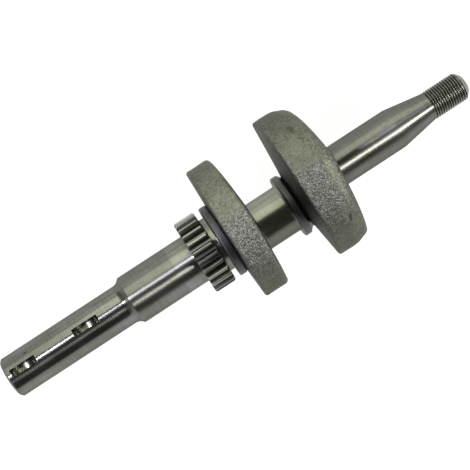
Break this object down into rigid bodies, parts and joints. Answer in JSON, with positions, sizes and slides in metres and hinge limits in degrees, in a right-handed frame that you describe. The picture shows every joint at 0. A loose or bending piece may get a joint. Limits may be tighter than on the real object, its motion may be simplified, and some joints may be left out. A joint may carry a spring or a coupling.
{
  "type": "crankshaft",
  "caption": "Forged crankshaft of a small single-cylinder engine: counterweighted webs, keyed output stub, tapered and threaded flywheel end, timing gear.",
  "frame": {"origin": "middle of the output side's main journal, on the main axis", "axes": "+X along the main axis towards the tapered flywheel end, +Z towards the counterweights (the crankpin is at -Z), +Y completes the right-handed set"},
  "size_m": [0.2779, 0.0814, 0.0856],
  "materials": {
    "crankshaft_steel": "forged steel: webs as forged and shot blasted, journals, pin, taper and stub ground bright",
    "gear_steel": "machined steel gear, bright on the tooth crests",
    "key_steel": "bright drawn key steel"
  },
  "bodies": {
    "root": {"crankshaft": "crankshaft_steel", "timing_gear": "gear_steel", "timing_gear_key": "key_steel"}
  },
  "joints": []
}
